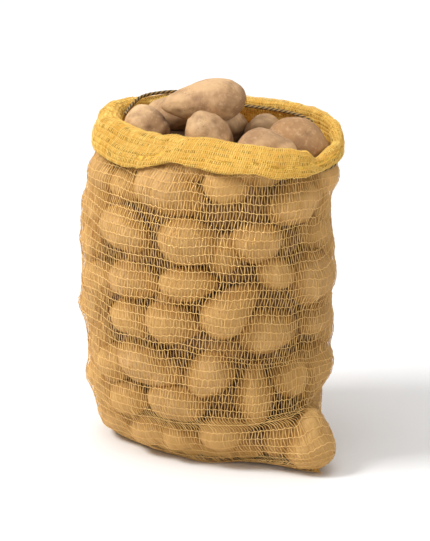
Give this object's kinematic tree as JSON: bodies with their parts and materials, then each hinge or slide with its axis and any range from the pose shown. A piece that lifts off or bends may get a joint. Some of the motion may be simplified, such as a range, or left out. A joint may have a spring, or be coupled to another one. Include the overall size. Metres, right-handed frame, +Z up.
{
  "type": "mesh sack filled with potatoes",
  "caption": "Open knitted net sack full of potatoes, its wall pushed out by them, its mouth rolled down into a thick cuff, one filled corner on the floor and a dark drawstring.",
  "frame": {"origin": "on the floor, under the axis of the sack", "axes": "+Z up, +X along the sack's width to the side of the filled corner, -Y to the front"},
  "size_m": [0.3915, 0.2854, 0.5119],
  "materials": {
    "net": "yellow knitted tape, slightly shiny",
    "string": "dark twisted cord",
    "potato_skin": "dull washed potato skin"
  },
  "bodies": {
    "root": {"sack": "net", "drawstring": "string", "potatoes_inside": "potato_skin", "potato_left": "potato_skin", "potato_front": "potato_skin", "potato_right": "potato_skin", "potato_front_right": "potato_skin", "potato_middle": "potato_skin", "potato_back_right": "potato_skin", "potato_back_left": "potato_skin", "potato_top": "potato_skin"}
  },
  "joints": []
}
